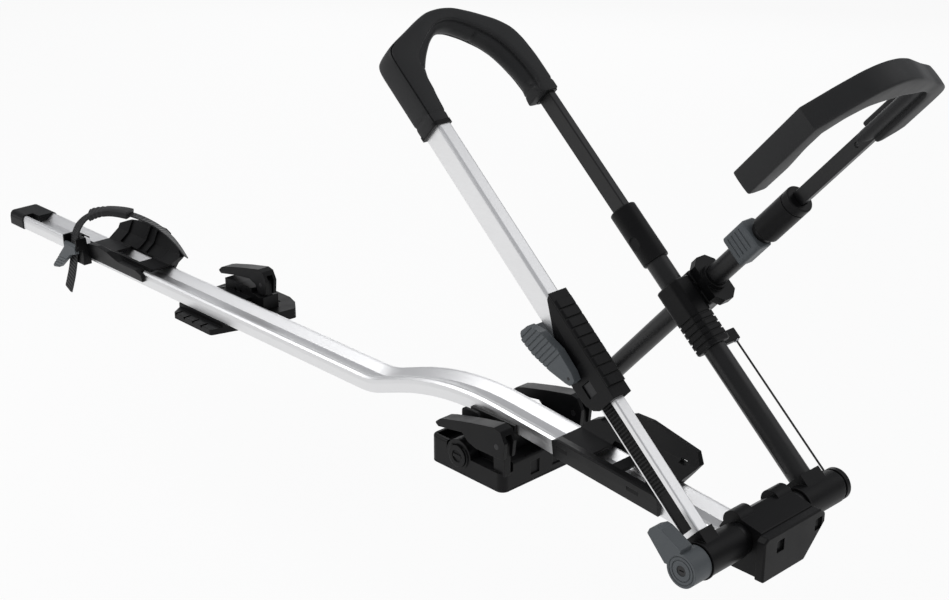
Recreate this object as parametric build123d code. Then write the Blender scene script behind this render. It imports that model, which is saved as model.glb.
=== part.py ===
from build123d import *
import math
import os

os.makedirs("parts", exist_ok=True)

# All sizes are millimetres.
# The origin is the middle of the front foot's rest face.
# +X runs along the rail to the front, +Y to the far side, +Z up.

# fits
seat_gap = 0.3
slide_gap = 0.25
turn_gap = 0.08
pin_gap = 0.1
soft_gap = 0.35

# rail
rail_width = 53.0
rail_height = 21.6
rail_wall = 1.8
rail_rear = -1162.5
rail_front = 418.0
rail_rest = 16.0
rise_x = -237.0
crest_x = -91.5
rise_angle = 19.4
fall_angle = 5.25
rise_bend = 120.0
crest_bend = 420.0
rib_rounding = 1.2
channel_share = 0.55
rail_half_shares = [
    (1.0, 0.0), (1.0, 0.6), (0.96, 0.83), (0.87, 0.97), (0.76, 1.0), (0.68, 0.95), (0.27, channel_share),
]

# rear end cap
cap_rear = -1200.5
cap_cover = 6.0
cap_wall = 1.6
cap_edge = 2.5
cap_far_cover = 26.0
cap_split = -7.0
screw_radius = 3.2
screw_rise = 1.6
screw_slot = 1.2

# trays
rear_tray_rear = -948.5
rear_tray_length = 184.0
rear_tray_drop = 14.0
rear_tray_height = 57.0
rear_tray_width = 88.0
rear_tray_near = -37.5
rear_section_shares = [
    (0.0, 1.0 - 0.31), (0.03, 0.37), (0.075, 0.0), (0.12, 0.0), (0.12, 0.255),
    (0.732, 0.255), (0.732, 0.0), (0.777, 0.0), (0.8, 0.33), (0.86, 0.46), (1.0, 1.0),
    (0.95, 1.0), (0.81, 0.57), (0.6, 0.33), (0.27, 0.33), (0.13, 0.46), (0.05, 1.0 - 0.31),
]
rear_near_shares = [
    (0.0, 0.0), (0.0, 0.28), (0.1, 0.46), (0.26, 0.52), (0.4, 0.46), (0.52, 0.34),
    (0.57, 0.3), (0.83, 0.3), (0.91, 0.2), (0.91, 0.0),
]
rear_far_shares = [
    (0.0, 0.0), (0.0, 0.7), (0.12, 0.86), (0.39, 1.0), (0.65, 1.0), (0.87, 0.81),
    (0.99, 0.51), (0.91, 0.12), (0.91, 0.0),
]
rear_split_y = -20.0
rear_window_back = 62.0
rear_window_length = 68.0
rear_window_near = -10.0
rear_window_width = 30.0
pocket_shares = [(0.62, 0.36), (0.8, 0.58), (0.93, 0.94), (0.96, 0.93), (0.835, 0.54), (0.66, 0.32)]
pocket_runs = ((30.0, 78.0), (83.0, 99.0), (104.0, 150.0))

front_tray_x = 188.4
front_tray_length = 164.0
front_tray_drop = 20.0
front_tray_height = 59.5
front_tray_width = 88.0
front_tray_near = -37.5
front_section_shares = [
    (0.0, 0.47), (0.03, 0.27), (0.075, 0.0), (0.12, 0.0), (0.12, 0.342),
    (0.732, 0.342), (0.732, 0.0), (0.777, 0.0), (0.777, 0.27), (0.86, 0.5), (1.0, 1.0),
    (0.94, 1.0), (0.81, 0.64), (0.585, 0.41), (0.2, 0.41), (0.05, 0.47),
]
front_near_shares = [
    (0.0, 0.0), (0.0, 0.41), (0.04, 0.47), (0.96, 0.47), (1.0, 0.41), (1.0, 0.0),
]
front_far_shares = [
    (0.0, 0.0), (0.0, 0.47), (0.03, 0.54), (0.345, 0.965), (0.5, 1.0), (0.94, 0.89),
    (1.0, 0.7), (0.87, 0.04), (0.87, 0.0),
]
front_split_y = 0.0
front_window_near = -19.0
front_window_width = 38.0
front_window_a_share = 0.31
front_window_a_length = 30.0
front_window_b_share = 0.59
front_window_b_length = 34.0
near_recess_depth = 1.6
near_recess_length = 18.0
near_recess_height = 14.0
near_recess_shares = (0.04, 0.72)
tray_slot_length = 9.0
tray_slot_height = 4.5
tray_slot_shares = (0.1, 0.84)
tray_slot_up = 0.6

# ratchet strap over the rear tray: middle of the strap and its outward normal
strap_route = [
    ((-766, 42.5, 51), (0.5, 1, 0.9)),
    ((-786, 41.5, 66), (0.5, 0.8, 1.0)),
    ((-810, 39, 79), (0.5, 0.6, 1.2)),
    ((-838, 31, 92), (0.3, 0.35, 1.2)),
    ((-872, 13, 103), (0, 0, 1)),
    ((-904, -8, 105), (-0.25, -0.15, 1)),
    ((-930, -27, 96), (-0.3, -0.65, 1)),
    ((-945, -40, 78), (-0.15, -1.0, 0.5)),
    ((-951, -46, 56), (0, -1, 0.1)),
    ((-956, -46.5, 30), (0, -1, 0)),
    ((-969, -46.5, -6), (0, -1, 0)),
    ((-986, -46.5, -41), (0, -1, 0)),
]
strap_width = 21.0
strap_thickness = 2.6
pad_first_index = 4
pad_last_index = 6
pad_width = 29.0
pad_thickness = 13.0
pad_rounding = 3.0

# strap buckle on the tray's near wall
buckle_x = -952.0
buckle_half = 17.0
buckle_wall = 3.0
buckle_near = -55.5
buckle_back = -30.0
buckle_floor = -43.8
buckle_bottom = 14.0
buckle_top = 60.0
buckle_pin_z = 46.0
buckle_pin_y = -52.5
buckle_pin_radius = 1.8
buckle_nose_radius = 3.8
buckle_boss = 6.0
cheek_gap = 1.0
buckle_lever_rear = -1014.0
buckle_lever_length = 78.8
buckle_lever_bottom = -6.0
buckle_lever_height = 58.0
buckle_lever_near = -57.0
buckle_lever_thick = 7.5
buckle_lever_shares = [
    (0.0, 0.0), (0.3, 0.08), (0.78, 0.62), (1.0, 0.7), (1.0, 1.0), (0.58, 1.0), (0.56, 0.78),
]
buckle_lever_rounding = 2.5
buckle_grip_count = 4
buckle_grip_pitch = 6.0
buckle_grip_width = 2.0
buckle_grip_depth = 0.8

# lever clamps, the same lever on both feet
lever_length = 122.0
lever_height = 39.0
lever_width = 20.0
lever_drop = 10.0
lever_rounding = 2.0
lever_shares = [
    (0.0, 0.26), (0.07, 0.44), (0.16, 0.53), (0.51, 0.79), (0.85, 1.0), (0.94, 0.94),
    (1.0, 0.59), (0.98, 0.02), (0.83, 0.0), (0.79, 0.3), (0.66, 0.47), (0.33, 0.33), (0.05, 0.16),
]
deep_lever_shares = [
    (0.0, 0.26), (0.07, 0.44), (0.16, 0.53), (0.51, 0.79), (0.85, 1.0), (0.94, 0.94),
    (1.0, 0.59), (0.98, 0.02), (0.6, 0.0), (0.48, 0.12), (0.4, 0.34), (0.05, 0.16),
]
lever_pivot_along = 108.0
lever_pivot_up = 5.0
lever_pin_radius = 3.5
lever_fork_half = 5.0
lever_fork_radius = 18.5
tongue_radius = 9.5

# front foot
front_half_length = 64.0
front_half_width = 74.6
foot_pad_thick = 3.0
front_base_top = 36.3
front_plinth_top = 25.0
front_wall = 6.0
front_wall_end = -34.0
front_deck_rear = -22.0
front_deck_half = 57.0
knob_arch_radius = 21.0
front_base_corner = 10.0
front_base_edge = 3.0
front_lever_y = 66.7
front_lever_tip = -53.0
front_lever_z = 56.0
saddle_rear = -37.0
saddle_front = 40.0
saddle_wall = 4.5
saddle_cheek = 9.0
bracket_front = -7.0
bracket_near = -46.0
bracket_thick = 4.0
bracket_top = 72.5
bracket_rounding = 5.0
front_recess_depth = 2.0
front_recess_width = 15.0
front_recess_pitch = 38.0
front_recess_height = 18.0
front_recess_z = 18.0
knob_x = -12.8
knob_z = 24.0
knob_radius = 14.2
knob_depth = 9.0
knob_stand = 3.0
knob_face_radius = 8.3
knob_face_depth = 1.4
knob_bar_width = 4.0
knob_bar_length = 14.0
knob_rim = 3.0
knob_rim_stand = 1.5

# rear foot
rear_pad_thick = 2.0
rear_plate_bottom = 2.3
rear_plate_x = -705.0
rear_plate_length = 158.0
rear_plate_y = -46.0
rear_plate_width = 156.0
rear_plate_shares = [
    (0.2, 0.0), (0.8, 0.0), (0.97, 0.6), (1.0, 0.86), (0.87, 0.955), (0.73, 1.0),
    (0.41, 1.0), (0.1, 0.9), (0.0, 0.75), (0.03, 0.25),
]
rear_plate_rounding = 6.0
rear_slot_x = -594.0
rear_slot_y = 86.0
rear_slot_length = 21.6
rear_slot_width = 5.0
rear_rib_count = 4
rear_rib_pitch = 22.0
rear_rib_length = 12.0
rear_rib_width = 4.0
rear_rib_depth = 3.0
rear_step_y = -27.5
rear_step_z = 9.0
rear_clamp_y = 59.0
rear_clamp_half = 14.0
rear_clamp_rear = -690.0
rear_clamp_length = 121.0
rear_clamp_height = 29.0
rear_clamp_shares = [
    (0.0, 0.0), (0.0, 0.1), (0.2, 0.45), (0.2, 0.95), (0.5, 1.0), (0.76, 1.0), (0.76, 0.75),
    (1.0, 0.75), (1.0, 0.0),
]
rear_lever_tip = -688.0
rear_lever_z = 49.0
rear_hole_radius = 2.6
rear_hole_pitch = 14.0
rear_hole_x = -640.0
rear_hole_z = 32.0
rear_cheek_half = 31.0
rear_cheek_rear = -660.0
rear_cheek_front = -600.0
rear_cheek_top = 30.0

# axle across the front end
axle_radius = 17.9
axle_wall = 2.2
axle_near = -118.0
axle_far = 136.0
axle_x = 388.5
far_cap_wall = 1.4
far_cap_length = 5.0
axle_lever_end = -137.4
axle_lever_cover = 7.0
axle_lever_radius = 19.2
axle_ring_radii = (16.5, 12.5)
axle_ring_width = 1.2
axle_ring_depth = 0.8
lock_radius = 6.0
lock_depth = 10.0
lock_proud = 0.6
key_slot_length = 6.0
key_slot_width = 1.4
key_slot_depth = 3.0
tab_rear = -47.0
tab_length = 46.0
tab_low = -2.0
tab_height = 39.3
tab_width = 18.0
tab_shares = [(0.53, 0.05), (0.0, 0.7), (0.06, 0.86), (0.26, 1.0), (0.4, 0.98), (0.98, 0.65), (0.9, 0.05)]
tab_groove_count = 4
tab_groove_pitch = 5.0
tab_groove_width = 1.6
tab_groove_depth = 0.9

# housing round the axle and the rail's front end
housing_near = -41.0
housing_far = 49.0
housing_rear = -28.0
housing_length = 60.0
housing_bottom = -37.3
housing_height = 62.5
housing_shares = [
    (0.01, 0.66), (0.1, 0.81), (0.34, 0.99), (0.94, 0.87), (0.94, 0.0), (0.32, 0.0), (0.27, 0.12),
]
housing_rounding = 3.0
cover_thick = 10.8
cover_front = 39.5
cover_near = -49.0
cover_far = 59.0
cover_bottom = -36.0
cover_height = 52.0
cover_shares = [
    (0.0, 0.0), (0.68, 0.0), (1.0, 0.66), (1.0, 0.86), (0.92, 1.0), (0.05, 1.0), (0.0, 0.92),
]
cover_rounding = 3.0
cover_edge = 2.2
cover_slot_length = 13.0
cover_slot_height = 14.0
cover_slot_depth = 3.0
cover_slot_near = -28.0
cover_slot_bottom = -7.0
cover_slot_far = 40.0
hump_radius = 13.0
hump_width = 24.0
hump_rear = -10.0
hump_up = 22.0
hump_near = -41.0
hump_far = 25.0

# the two leaning legs and what they carry, measured along the leg from the axle
leg_angle = 41.9
near_leg_y = -91.2
far_leg_y = 92.2
bar_depth = 27.5
bar_thick = 15.2
bar_wall = 2.4
bar_root = 12.0
bar_top = 405.0
bar_rounding = 2.0
rack_back = 2.9
rack_width = 17.7
rack_recess = 2.6
rack_base = 1.2
rack_pitch = 4.2
rack_tooth = 1.3
rack_flat_start = 32.0
rack_teeth_start = 78.0
rack_end = 400.0
collar_low = 30.0
collar_wall = 2.0
collar_near = -109.8
collar_inner = -50.5
far_collar_inner = 61.0
far_collar_end = 126.5
collar_ridge = 2.0
collar_rim = 1.0
socket_wall = 3.2
socket_low = 26.0
far_tube_radius = 13.75
far_tube_wall = 1.5
far_tube_top = 343.0
far_groove_width = 6.0
far_groove_depth = 0.7
far_groove_length = 150.0
far_groove_start = 36.0
sleeve_low = 322.7
sleeve_top = 397.3
sleeve_radius = 16.7
sleeve_edge = 2.0
sleeve_arch_s = 351.0
sleeve_arch_radius = 8.0
sleeve_arch_depth = 1.5
far_bar_depth = 21.6
far_bar_thick = 10.8
far_bar_low = 235.0
far_bar_rounding = 1.5

# upper tube, sliding over the lower bar
tube_depth = 31.4
tube_thick = 20.1
tube_rounding = 4.0
tube_low = 236.0
tube_insert = 35.5

# head at the hoop's top, as (across, along) shares of its box
head_near = -106.0
head_width = 208.0
head_base = 562.5
head_reach = 145.8
head_half = 17.6
head_edge = 3.5
head_outer_shares = [
    (0.0, 0.0), (0.0, 0.6), (0.13, 0.8), (0.34, 0.95), (0.46, 1.0), (0.63, 1.0), (0.77, 0.9),
    (0.93, 0.77), (1.0, 0.6), (1.0, 0.06), (0.85, 0.06), (0.85, 0.0),
]
head_inner_shares = [
    (0.15, -0.2), (0.15, 0.06), (0.18, 0.35), (0.25, 0.57), (0.42, 0.82), (0.61, 0.85),
    (0.75, 0.6), (0.82, 0.35), (0.85, 0.15), (0.85, -0.2),
]
head_pad_thick = 4.0
head_pad_half = 15.0
head_pad_start = 12.0
band_length = 5.5
band_wall = 3.6
head_seam_width = 1.0
head_seam_depth = 0.8
head_seam_ys = (-52.0, 40.0)

# ratchet housing on the near leg
ratchet_near = -106.0
ratchet_far = -78.8
ratchet_low = 189.0
ratchet_length = 134.0
ratchet_under = -24.0
ratchet_depth = 46.0
ratchet_low_shares = [
    (0.0, 0.35), (0.035, 0.17), (0.11, 0.04), (0.22, 0.0), (0.38, 0.0), (0.4, 0.1),
    (0.4, 1.0), (0.0, 1.0),
]
ratchet_side_shares = [
    (0.3, 0.0), (0.36, 0.13), (0.5, 0.2), (0.72, 0.36), (0.98, 0.84), (1.0, 1.0), (0.3, 1.0),
]
ratchet_frame_shares = [
    (0.36, 0.7), (0.58, 0.6), (0.8, 0.68), (0.96, 0.86), (0.96, 1.0), (0.3, 1.0),
]
ratchet_frame_stand = 2.2
grip_start = 203.0
grip_base = 1.6
grip_rise = 2.2
grip_pitch = 12.4
grip_count = 10
grip_gap = 2.2
grip_rounding = 3.0
ratchet_pivot_s = 236.0
ratchet_pivot_n = -11.0
ratchet_pin_radius = 2.0
ratchet_lever_near = -116.5
ratchet_lever_low = 229.0
ratchet_lever_length = 84.0
ratchet_lever_under = -41.5
ratchet_lever_depth = 40.5
ratchet_lever_shares = [
    (0.0, 0.66), (0.06, 0.57), (0.33, 0.3), (0.65, 0.07), (0.9, 0.0), (1.0, 0.15),
    (0.98, 0.52), (0.79, 0.8), (0.44, 1.0), (0.11, 0.97), (0.0, 0.9),
]
ratchet_lever_rounding = 1.5
ratchet_wrap_start = 40.0
ratchet_wrap_far = -84.0
ratchet_wrap_depth = 11.0
ratchet_groove_count = 9
ratchet_groove_pitch = 6.2
ratchet_groove_width = 1.6
ratchet_groove_depth = 0.9
ratchet_groove_start = 262.0
pawl_low = 206.0
pawl_length = 16.0
pawl_depth = 14.0
pawl_clear = 0.35
pawl_back = -104.2
pawl_travel = 2.0

# block on the far leg that carries the hook arm
block_low = 201.0
block_top = 289.0
block_near = 75.5
block_far = 109.6
block_half = 18.5
block_rounding = 9.0
block_edge = 1.5
ring_count = 5
ring_pitch = 8.0
ring_width = 2.6
ring_depth = 1.8
ring_start = 6.0
wing_length = 12.0
wing_far = 135.0
wing_half = 5.0
wing_edge = 1.5
wire_y = 129.5
wire_n = 1.5
wire_radius = 1.25
ferrule_radius = 3.2
ferrule_length = 9.0

# hook arm
arm_s = 270.4
arm_y = 126.4
arm_radius = 13.25
arm_wall = 1.8
arm_low = -200.0
arm_top = 160.0
hub_length = 48.0
hub_low = -19.0
hub_high = 17.0
hub_far = 142.6
hub_rounding = 6.0
pivot_radius = 15.5
pivot_depth = 2.2
flange_half_length = 30.4
flange_far = 148.0
flange_thick = 11.0
flange_shares = [
    (0.0, 0.3), (0.15, 0.0), (0.85, 0.0), (1.0, 0.3), (1.0, 0.7), (0.85, 1.0), (0.15, 1.0), (0.0, 0.7),
]
neck_radius = 16.5
neck_length = 7.0
trigger_low = 86.0
trigger_high = 123.9
trigger_under = 16.0
trigger_over = 22.0
trigger_near = 19.0
trigger_wrap = 6.0
trigger_rounding = 5.0
trigger_edge = 1.5
trigger_groove_count = 4
trigger_groove_pitch = 7.0
trigger_groove_width = 1.6
trigger_groove_depth = 0.9
arm_sleeve_low = 131.0
arm_sleeve_high = 193.9
arm_sleeve_radius = 17.15
sleeve_ring_back = 12.0
sleeve_ring_width = 2.0
sleeve_ring_depth = 1.0
arm_bar_deep = 16.7
arm_bar_thick = 10.8
arm_bar_low = -60.0
arm_bar_top = 360.0
arm_bar_rounding = 1.5
arm_hole_n = 296.0
arm_hole_radius = 3.2

# hook pad, as (across, along) shares of its box
hook_near = -77.0
hook_width = 227.0
hook_base = 295.0
hook_reach = 156.0
hook_half = 14.0
hook_outer_shares = [
    (0.0, 0.04), (0.0, 0.735), (0.143, 0.865), (0.285, 0.974), (0.418, 1.0), (0.556, 0.974),
    (0.812, 0.81), (0.95, 0.74), (1.0, 0.694), (1.0, 0.285), (0.812, 0.074),
    (0.812, 0.62), (0.766, 0.708), (0.606, 0.7625), (0.308, 0.7625), (0.157, 0.694),
    (0.115, 0.6), (0.12, 0.483), (0.157, 0.244), (0.148, 0.04), (0.1, 0.0), (0.04, 0.0),
]
core_half = 6.0
core_route_shares = [
    (0.908, 0.45), (0.905, 0.68), (0.8, 0.755), (0.58, 0.868), (0.4, 0.885), (0.25, 0.85),
    (0.08, 0.69), (0.07, 0.12),
]
core_thick = 7.0


def outline(shares, low_a, low_b, span_a, span_b, rounding=0):
    points = [(low_a + a * span_a, low_b + b * span_b) for a, b in shares]
    if rounding:
        line = FilletPolyline(*points, radius=rounding, close=True)
    else:
        line = Polyline(*points, close=True)
    return make_face(line.edges())


def up_plate(face, low, high):
    return Pos(0, 0, low) * extrude(face, amount=high - low)


def side_plate(face, low, high):
    return Pos(0, low, 0) * extrude(Plane.XZ * face, amount=low - high)


def end_plate(face, low, high):
    return Pos(low, 0, 0) * extrude(Plane.YZ * face, amount=high - low)


def block(low_x, high_x, low_y, high_y, low_z, high_z):
    corner = Pos(low_x, low_y, low_z)
    return corner * Box(high_x - low_x, high_y - low_y, high_z - low_z, align=(Align.MIN,) * 3)


def rod_z(x, y, radius, low, high):
    return Pos(x, y, low) * Cylinder(radius, high - low, align=(Align.CENTER, Align.CENTER, Align.MIN))


def rod_y(x, z, radius, low, high):
    return Pos(x, low, z) * Rot(-90, 0, 0) * rod_z(0, 0, radius, 0, high - low)


def rod_x(y, z, radius, low, high):
    return Pos(low, y, z) * Rot(0, 90, 0) * rod_z(0, 0, radius, 0, high - low)


def rounded_block(low_x, high_x, low_y, high_y, low_z, high_z, rounding):
    body = block(low_x, high_x, low_y, high_y, low_z, high_z)
    return fillet(body.edges(), rounding)


def save(shape, name):
    export_step(shape, "parts/" + name + ".step")


# rail: one bent hollow section with two ribs and a channel between them
rail_half = rail_width / 2
crest_z = rail_rest + (crest_x - rise_x) * math.tan(math.radians(rise_angle))
fall = math.tan(math.radians(fall_angle))


def front_underside(x):
    return crest_z - fall * (x - crest_x)


rail_line = FilletPolyline(
    (rail_rear, 0, rail_rest),
    (rise_x, 0, rail_rest),
    (crest_x, 0, crest_z),
    (rail_front, 0, front_underside(rail_front)),
    radius=(rise_bend, crest_bend),
)
rail_shares = rail_half_shares + [(-a, b) for a, b in reversed(rail_half_shares)]
rail_face = outline(rail_shares, 0, 0, rail_half, rail_height, rib_rounding)
rail_start = Plane(origin=(rail_rear, 0, rail_rest), x_dir=(0, 1, 0), z_dir=(1, 0, 0))
rail_solid = sweep(rail_start * rail_face, path=rail_line)
rail_plain = outline(rail_shares, 0, 0, rail_half, rail_height)
rail_core = offset(rail_plain, -rail_wall, kind=Kind.INTERSECTION)
rail_hollow = sweep(rail_start * rail_core, path=rail_line)
rail_jacket = sweep(rail_start * offset(rail_face, slide_gap), path=rail_line)
save(rail_solid - rail_hollow, "rail")
rail_top = rail_rest + rail_height

# rear end cap: it fills the channel, and reaches further along the far rib
cap_shares = rail_half_shares[:5] + [(-a, b) for a, b in reversed(rail_half_shares[:5])]
cap_outer = outline(cap_shares, 0, rail_rest, rail_half, rail_height, rib_rounding)
cap_bore = Pos(0, rail_rest) * offset(rail_face, slide_gap)
cap_end = rail_rear - seat_gap
cap_front = cap_end + cap_far_cover
end_cap = end_plate(offset(cap_outer, cap_wall), cap_rear, cap_front)
end_cap = chamfer(end_cap.faces().sort_by(Axis.X)[0].outer_wire().edges(), cap_edge)
end_cap -= end_plate(cap_bore, cap_end, cap_front)
end_cap -= block(cap_end + cap_cover, cap_front, -rail_width, cap_split, 0, rail_width * 2)
end_cap -= block(cap_end + cap_cover, cap_front, cap_split, rail_width, 0, rail_rest + rail_height / 2)
save(end_cap, "rear_end_cap")
screw_x = (cap_rear + cap_end) / 2
screw_z = rail_rest - cap_wall - screw_rise
screw = rod_z(screw_x, 0, screw_radius, screw_z, screw_z + screw_rise)
screw -= block(
    screw_x - screw_radius, screw_x + screw_radius, -screw_slot / 2, screw_slot / 2,
    screw_z, screw_z + screw_rise / 2,
)
save(screw, "end_cap_screw")

# strap and its rim pad, lofted along the route
def strap_plane(index):
    point, normal = strap_route[index]
    before = Vector(*strap_route[max(index - 1, 0)][0])
    after = Vector(*strap_route[min(index + 1, len(strap_route) - 1)][0])
    along = (after - before).normalized()
    across = along.cross(Vector(*normal)).normalized()
    return Plane(origin=point, x_dir=across, z_dir=along)


def strap_loft(first, last, width, thickness, rounding=0):
    sections = []
    for index in range(first, last + 1):
        face = Rectangle(width, thickness)
        if rounding:
            face = fillet(face.vertices(), rounding)
        sections.append(strap_plane(index) * face)
    return loft(sections)


strap_last = len(strap_route) - 1
save(strap_loft(0, strap_last, strap_width, strap_thickness), "strap")
strap_clear = strap_loft(0, strap_last, strap_width + 2 * soft_gap, strap_thickness + 2 * soft_gap)
save(strap_loft(pad_first_index, pad_last_index, pad_width, pad_thickness, pad_rounding) - strap_clear, "strap_pad")

# rear tray: a cradle with a low near wall and a flared far wall
tray_base = rail_top - rear_tray_drop
tray_front = rear_tray_rear + rear_tray_length
rear_far = rear_tray_near + rear_tray_width
tray_section = outline(
    rear_section_shares, rear_tray_near, tray_base, rear_tray_width, rear_tray_height
)
tray_bar = end_plate(tray_section, rear_tray_rear, tray_front)
near_side = side_plate(
    outline(rear_near_shares, rear_tray_rear, tray_base, rear_tray_length, rear_tray_height),
    rear_tray_near, rear_split_y,
)
far_side = side_plate(
    outline(rear_far_shares, rear_tray_rear, tray_base, rear_tray_length, rear_tray_height),
    rear_split_y, rear_far,
)
rear_tray = tray_bar & (near_side + far_side)
rear_tray -= rail_jacket
window_x = rear_tray_rear + rear_window_back
rear_tray -= block(
    window_x, window_x + rear_window_length, rear_window_near, rear_window_near + rear_window_width,
    tray_base, tray_base + rear_tray_height,
)
pocket_face = outline(pocket_shares, rear_tray_near, tray_base, rear_tray_width, rear_tray_height)
for low, high in pocket_runs:
    rear_tray -= end_plate(pocket_face, rear_tray_rear + low, rear_tray_rear + high)
rear_tray -= strap_clear
rear_tray = sorted(rear_tray.solids(), key=lambda solid: solid.volume)[-1]
save(rear_tray, "rear_tray")

# front tray on the falling front of the rail
front_face = outline(
    front_section_shares, front_tray_near, -front_tray_drop, front_tray_width, front_tray_height
)
half_tray = front_tray_length / 2
front_bar = end_plate(front_face, -half_tray, half_tray)
front_far = front_tray_near + front_tray_width
front_near_side = side_plate(
    outline(front_near_shares, -half_tray, -front_tray_drop, front_tray_length, front_tray_height),
    front_tray_near, front_split_y,
)
front_far_side = side_plate(
    outline(front_far_shares, -half_tray, -front_tray_drop, front_tray_length, front_tray_height),
    front_split_y, front_far,
)
front_tray = front_bar & (front_near_side + front_far_side)
for share, length in (
    (front_window_a_share, front_window_a_length), (front_window_b_share, front_window_b_length)
):
    low = share * front_tray_length - half_tray
    front_tray -= block(
        low, low + length, front_window_near, front_window_near + front_window_width,
        -front_tray_drop, front_tray_height,
    )
for share in near_recess_shares:
    low = share * front_tray_length - half_tray
    front_tray -= block(
        low, low + near_recess_length, front_tray_near, front_tray_near + near_recess_depth * 2,
        -near_recess_height, 0,
    )
for share in tray_slot_shares:
    low = share * front_tray_length - half_tray
    slot_z = tray_slot_up * front_tray_height - front_tray_drop
    front_tray -= block(
        low, low + tray_slot_length, front_tray_near + front_tray_width / 2, front_far,
        slot_z, slot_z + tray_slot_height,
    )
front_rail_top = front_underside(front_tray_x) + rail_height / math.cos(math.radians(fall_angle))
front_tray = Pos(front_tray_x, 0, front_rail_top) * Rot(0, fall_angle, 0) * front_tray
front_tray -= rail_jacket
save(front_tray, "front_tray")

# buckle: base on the tray's near wall, lever on a pin across it
buckle_low = buckle_x - buckle_half
buckle_high = buckle_x + buckle_half
buckle_base = block(
    buckle_low - buckle_wall, buckle_high + buckle_wall, buckle_near, buckle_back, buckle_bottom, buckle_top
)
buckle_base -= block(buckle_low, buckle_high, buckle_near, buckle_floor, buckle_bottom, buckle_top)
cheek_low = buckle_pin_z - buckle_boss
buckle_base -= block(
    buckle_low - buckle_wall, buckle_high + buckle_wall, buckle_near, buckle_floor - soft_gap,
    buckle_bottom, cheek_low,
)
buckle_base -= rod_x(
    buckle_pin_y, buckle_pin_z, buckle_pin_radius + pin_gap, buckle_low - buckle_wall, buckle_high + buckle_wall
)
buckle_base -= tray_bar + rail_jacket + strap_clear
buckle_parts = sorted(buckle_base.solids(), key=lambda solid: solid.volume)
save(buckle_parts[-1], "buckle_base")
save(
    rod_x(buckle_pin_y, buckle_pin_z, buckle_pin_radius, buckle_low - buckle_wall, buckle_high + buckle_wall),
    "buckle_pin",
)
lever_face = outline(
    buckle_lever_shares, buckle_lever_rear, buckle_lever_bottom, buckle_lever_length, buckle_lever_height,
    buckle_lever_rounding,
)
buckle_lever = side_plate(lever_face, buckle_lever_near, buckle_lever_near + buckle_lever_thick)
buckle_lever -= block(
    buckle_lever_rear, buckle_low + slide_gap, buckle_lever_near, buckle_back, cheek_low - cheek_gap,
    buckle_top + buckle_lever_height,
)
buckle_lever -= block(
    buckle_high - slide_gap, buckle_high + buckle_lever_length, buckle_lever_near, buckle_back,
    cheek_low - cheek_gap, buckle_top + buckle_lever_height,
)
buckle_nose = rod_x(buckle_pin_y, buckle_pin_z, buckle_nose_radius, buckle_lever_rear, buckle_high)
buckle_lever -= block(
    buckle_lever_rear, buckle_high, buckle_lever_near, buckle_back,
    buckle_pin_z, buckle_top + buckle_lever_height,
) - buckle_nose
buckle_lever -= rod_x(
    buckle_pin_y, buckle_pin_z, buckle_pin_radius + pin_gap, buckle_low - buckle_wall, buckle_high + buckle_wall
)
for index in range(buckle_grip_count):
    grip_z = index * buckle_grip_pitch
    buckle_lever -= block(
        buckle_lever_rear, buckle_high, buckle_lever_near, buckle_lever_near + buckle_grip_depth,
        grip_z, grip_z + buckle_grip_width,
    )
save(buckle_lever, "buckle_lever")


# clamp levers, one shape for both feet
def lever_pivot(tip_x, tip_z):
    return tip_x + lever_pivot_along, tip_z + lever_pivot_up


def clamp_lever(shares, tip_x, tip_z, middle_y):
    face = outline(shares, tip_x, tip_z - lever_drop, lever_length, lever_height, lever_rounding)
    half = lever_width / 2
    body = side_plate(face, middle_y - half, middle_y + half)
    pivot_x, pivot_z = lever_pivot(tip_x, tip_z)
    body -= rod_y(
        pivot_x, pivot_z, lever_fork_radius, middle_y - lever_fork_half, middle_y + lever_fork_half
    )
    body -= rod_y(pivot_x, pivot_z, lever_pin_radius + pin_gap, middle_y - half, middle_y + half)
    return body


def clamp_pin(tip_x, tip_z, middle_y):
    pivot_x, pivot_z = lever_pivot(tip_x, tip_z)
    half = lever_width / 2
    return rod_y(pivot_x, pivot_z, lever_pin_radius, middle_y - half, middle_y + half)


def clamp_tongue(tip_x, tip_z, middle_y, floor_z):
    pivot_x, pivot_z = lever_pivot(tip_x, tip_z)
    low = middle_y - lever_fork_half + slide_gap
    high = middle_y + lever_fork_half - slide_gap
    body = rod_y(pivot_x, pivot_z, tongue_radius, low, high)
    body += block(pivot_x - tongue_radius, pivot_x + tongue_radius, low, high, floor_z, pivot_z)
    return body - rod_y(pivot_x, pivot_z, lever_pin_radius, low, high)


# front foot: rubber rest, base, saddle under the rail and the torque knob
front_pad = block(
    -front_half_length, front_half_length, -front_half_width, front_half_width, 0, foot_pad_thick
)
front_pad = fillet(front_pad.edges().filter_by(Axis.Z), front_base_corner)
save(front_pad, "front_foot_pad")
foot_floor = foot_pad_thick + seat_gap
front_base = block(
    -front_half_length, front_half_length, -front_half_width, front_half_width, foot_floor, front_base_top
)
front_base = fillet(front_base.edges().filter_by(Axis.Z), front_base_corner)
front_base = fillet(front_base.faces().sort_by(Axis.Z)[-1].edges(), front_base_edge)
tall_part = block(
    -front_half_length, front_wall_end, -front_half_width, front_half_width, front_plinth_top, front_base_top
) - block(
    front_wall - front_half_length, front_wall_end, front_wall - front_half_width,
    front_half_width - front_wall, front_plinth_top, front_base_top,
)
tall_part += block(
    front_deck_rear, front_half_length, -front_deck_half, front_deck_half, front_plinth_top, front_base_top
)
plinth = block(
    -front_half_length, front_half_length, -front_half_width, front_half_width, foot_floor, front_plinth_top
)
front_base &= plinth + tall_part
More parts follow.
